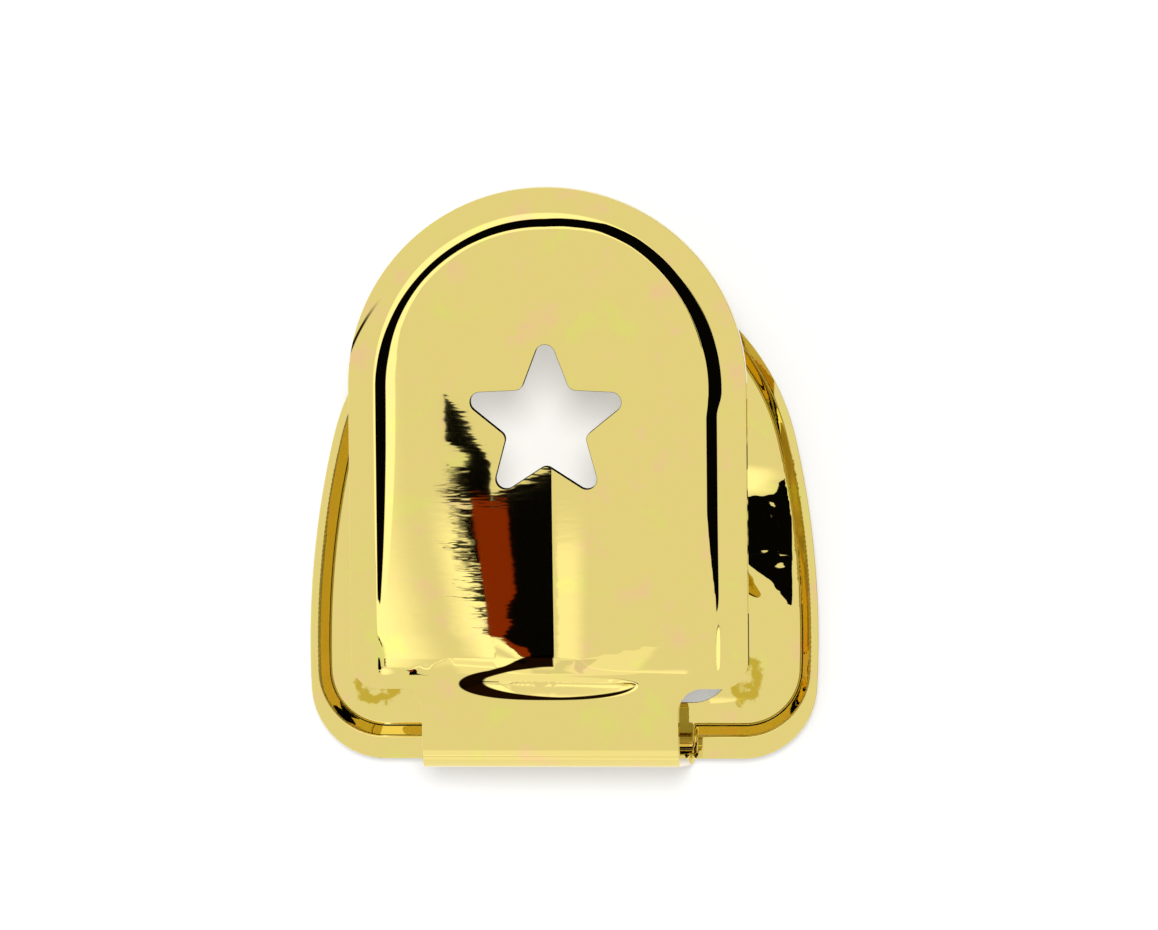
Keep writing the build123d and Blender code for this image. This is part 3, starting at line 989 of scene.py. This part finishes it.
def gold_material():
    """Polished gold plating with faint blotches, painted dark reflections, painted shade in two corners and
    fine ripples.
    """
    mat, tree, gold = new_material("gold_plating", Metallic=1.0, Roughness=0.02)
    coord = tree.nodes.new("ShaderNodeTexCoord").outputs["Object"]
    x, y, z = (part * (1 / MM) for part in split_vector(tree, coord))
    tint = tree.nodes.new("ShaderNodeValToRGB")
    stops = tint.color_ramp.elements
    stops[0].position, stops[0].color = TINT[0]
    stops[1].position, stops[1].color = TINT[-1]
    for position, colour in TINT[1:-1]:
        stops.new(position).color = colour
    tree.links.new(noise(tree, coord, *BLOTCHES).socket, tint.inputs[0])
    # painted shade on the back frame's lower corners, for the front plate's shaded corners reflected there
    painted_shade = corner_painted_shade(x, y, z, noise(tree, coord, *RAGGED)) * PAINTED_SHADE_SHARE
    colour = blend(tree, painted_shade, tint.outputs[0], PAINTED_SHADE_COLOUR)
    # painted dark reflections and shade round the dimple, above it and across the border
    colour = blend(tree, painted_dark_reflections(x, y, z), colour, PAINTED_DARK_COLOUR)
    tree.links.new(colour, gold.inputs["Base Color"])
    stretch = tree.nodes.new("ShaderNodeVectorMath")
    stretch.operation = "MULTIPLY"
    stretch.inputs[1].default_value = RIPPLE_STRETCH
    tree.links.new(coord, stretch.inputs[0])
    bump = add_node(tree, "ShaderNodeBump", Strength=RIPPLE_STRENGTH, Distance=RIPPLE_HEIGHT)
    tree.links.new(noise(tree, stretch.outputs[0], *RIPPLES).socket, bump.inputs["Height"])
    tree.links.new(bump.outputs[0], gold.inputs["Normal"])
    return mat


def open_light(dx, dy, dz):
    """Where there is light: high up, and low down beyond the cap's foot, but not from the right wall."""
    elevation = maths(dz.tree, "ARCSINE", dz) * (180 / math.pi)
    above = (elevation - dy.step(*DROP_FROM) * HORIZON_DROP).step(*HORIZON)
    across_foot = dx / (dy * -1.0).at_least(0.01)
    towards_foot = dy.step(*FOOT_LIGHT_Y) * across_foot.step(*FOOT_LIGHT_X)
    above = above.at_least(towards_foot * FOOT_LIGHT)
    return above * (dx * RIGHT_WALL_X + dy * RIGHT_WALL_Y).step(*RIGHT_WALL)


def dark_gap(tree, alpha, beta):
    """Dark gap in the light: a stripe and a slanting arm above it. Also the brown part of the stripe."""
    arm = (beta - ARM_BETA) + (alpha - ARM_ALPHA) * ARM_SLANT
    stripe = ((beta - STRIPE_BETA) + (alpha - STRIPE_ALPHA) * STRIPE_SLANT).step(*STRIPE_EDGE)
    left_edge = beta.step(*GAP_LEFT_FROM) * GAP_LEFT_SHIFT + GAP_LEFT
    feather = add_node(tree, "ShaderNodeTexNoise", Scale=FEATHER_SCALE, Detail=2.0, Roughness=0.75)
    feather.noise_dimensions = "1D"
    tree.links.new(beta.socket, feather.inputs["W"])
    feathers = (Term(tree, feather.outputs["Fac"]) - FEATHER_LEAST).at_least(0.0) * FEATHER_LENGTH
    feathers = feathers * (beta.step(*FEATHER_TOP) * beta.step(*FEATHER_FOOT))
    left = (alpha - (left_edge - feathers)).step(*GAP_LEFT_EDGE)
    gap = arm.step(*ARM_EDGE).at_least(stripe) * left
    gap = gap * (alpha.step(*GAP_RIGHT) * beta.step(*GAP_LOWEST))
    gap = gap * alpha.step(*ARM_RIGHT).at_least(stripe)
    brown_edge = alpha + beta.step(*BROWN_LEAN_FROM) * BROWN_LEAN
    brown = gap * beta.step(*BROWN_TOP) * brown_edge.step(*BROWN_RIGHT)
    return gap, brown * (alpha - left_edge).step(*BROWN_LEFT)


def bright_parts(alpha, beta):
    """Where the light is brighter."""
    left = alpha.step(*GLOW_LEFT[0]) * alpha.step(*GLOW_LEFT[1])
    right = alpha.step(*GLOW_RIGHT[0]) * alpha.step(*GLOW_RIGHT[1]) * GLOW_RIGHT_SHARE
    glow = left.at_least(right) * beta.step(*GLOW_LOW)
    glow = glow.at_least(beta.step(*GLOW_TOP[0]) * beta.step(*GLOW_TOP[1]))
    return glow.at_least(alpha.step(*GLOW_FAR_LEFT).at_least(beta.step(*GLOW_FOOT) * GLOW_FOOT_SHARE))


def build_world():
    """Even studio light that is dark near the horizon, with one dark gap and a few brighter parts."""
    world = bpy.data.worlds.new("studio")
    bpy.context.scene.world = world
    world.use_nodes = True
    tree = world.node_tree
    tree.nodes.clear()
    back = tree.nodes.new("ShaderNodeBackground")
    tree.links.new(back.outputs[0], tree.nodes.new("ShaderNodeOutputWorld").inputs[0])
    dx, dy, dz = split_vector(tree, tree.nodes.new("ShaderNodeTexCoord").outputs["Generated"])
    alpha, beta = dx.degrees_over(dz), dy.degrees_over(dz)
    gap, brown = dark_gap(tree, alpha, beta)
    disc = (alpha - DISC_ALPHA).length_with(beta).step(*DISC_EDGE)
    lit = open_light(dx, dy, dz) * (1.0 - gap) * (1.0 - disc)
    level = (bright_parts(alpha, beta) * GLOW + 1.0) * lit + DARKEST
    # the backdrop behind the floor is plain and pale
    backdrop = Term(tree, tree.nodes.new("ShaderNodeLightPath").outputs["Is Camera Ray"])
    level = level.at_least(backdrop)
    brown = brown * (1.0 - backdrop)
    colour = tree.nodes.new("ShaderNodeCombineXYZ")
    for part, slot in zip((level + brown * BROWN_RED, level + brown * BROWN_GREEN, level), colour.inputs):
        tree.links.new(part.socket, slot)
    tree.links.new(colour.outputs[0], back.inputs["Color"])


def build_floor():
    """Plain pale floor."""
    mesh = bpy.data.meshes.new("floor")
    corners = [(FLOOR_HALF * i, FLOOR_HALF * j, 0) for i, j in ((-1, -1), (1, -1), (1, 1), (-1, 1))]
    mesh.from_pydata(corners, [], [(0, 1, 2, 3)])
    floor = bpy.data.objects.new("floor", mesh)
    bpy.context.scene.collection.objects.link(floor)
    floor.location.z = -FLOOR_BELOW
    mat, _, pale = new_material("pale_floor", Roughness=FLOOR_ROUGHNESS, Specular_IOR_Level=0.0)
    pale.inputs["Base Color"].default_value = (FLOOR_GREY, FLOOR_GREY, FLOOR_GREY, 1)
    pale.inputs["Emission Color"].default_value = (1, 1, 1, 1)
    pale.inputs["Emission Strength"].default_value = FLOOR_GLOW
    mesh.materials.append(mat)


def build_camera():
    """Camera nearly straight above the cap, a little to its right."""
    half_width = IMAGE_WIDTH / 2 / PIXELS_PER_MM * MM
    cam = bpy.data.cameras.new("camera")
    cam.sensor_width = SENSOR
    cam.lens = SENSOR / 2 / (half_width / CAMERA_AWAY)
    cam.clip_start = 0.01
    cam.clip_end = 10.0
    obj = bpy.data.objects.new("camera", cam)
    bpy.context.scene.collection.objects.link(obj)
    back = Vector((math.sin(CAMERA_SWING), 0, math.cos(CAMERA_SWING)))
    right = Vector((math.cos(CAMERA_SWING), 0, -math.sin(CAMERA_SWING)))
    aim = Vector((0, 0, AIM_Z * MM)) + right * AIM_X * MM + Vector((0, 1, 0)) * AIM_Y * MM
    obj.location = aim + back * CAMERA_AWAY
    obj.rotation_euler = (0, CAMERA_SWING, 0)
    bpy.context.scene.camera = obj


def build_light():
    """One soft lamp from high up, a little towards the cap's top."""
    lamp = bpy.data.lights.new("key", "SUN")
    lamp.energy = LAMP_ENERGY
    lamp.angle = LAMP_SPREAD
    obj = bpy.data.objects.new("key", lamp)
    bpy.context.scene.collection.objects.link(obj)
    way = Vector((math.tan(CAMERA_SWING), math.tan(FRONT_LEAN), 1.0)).normalized()
    obj.rotation_euler = way.to_track_quat("Z", "Y").to_euler()
    obj.visible_glossy = False


cap = bpy.data.objects.new("cap_sheet", build_sheet())
bpy.context.scene.collection.objects.link(cap)
cap.data.materials.append(gold_material())
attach(cap, "root")
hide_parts("tooth_cap")

build_world()
build_floor()
build_camera()
build_light()
bpy.context.scene.view_settings.view_transform = "Standard"
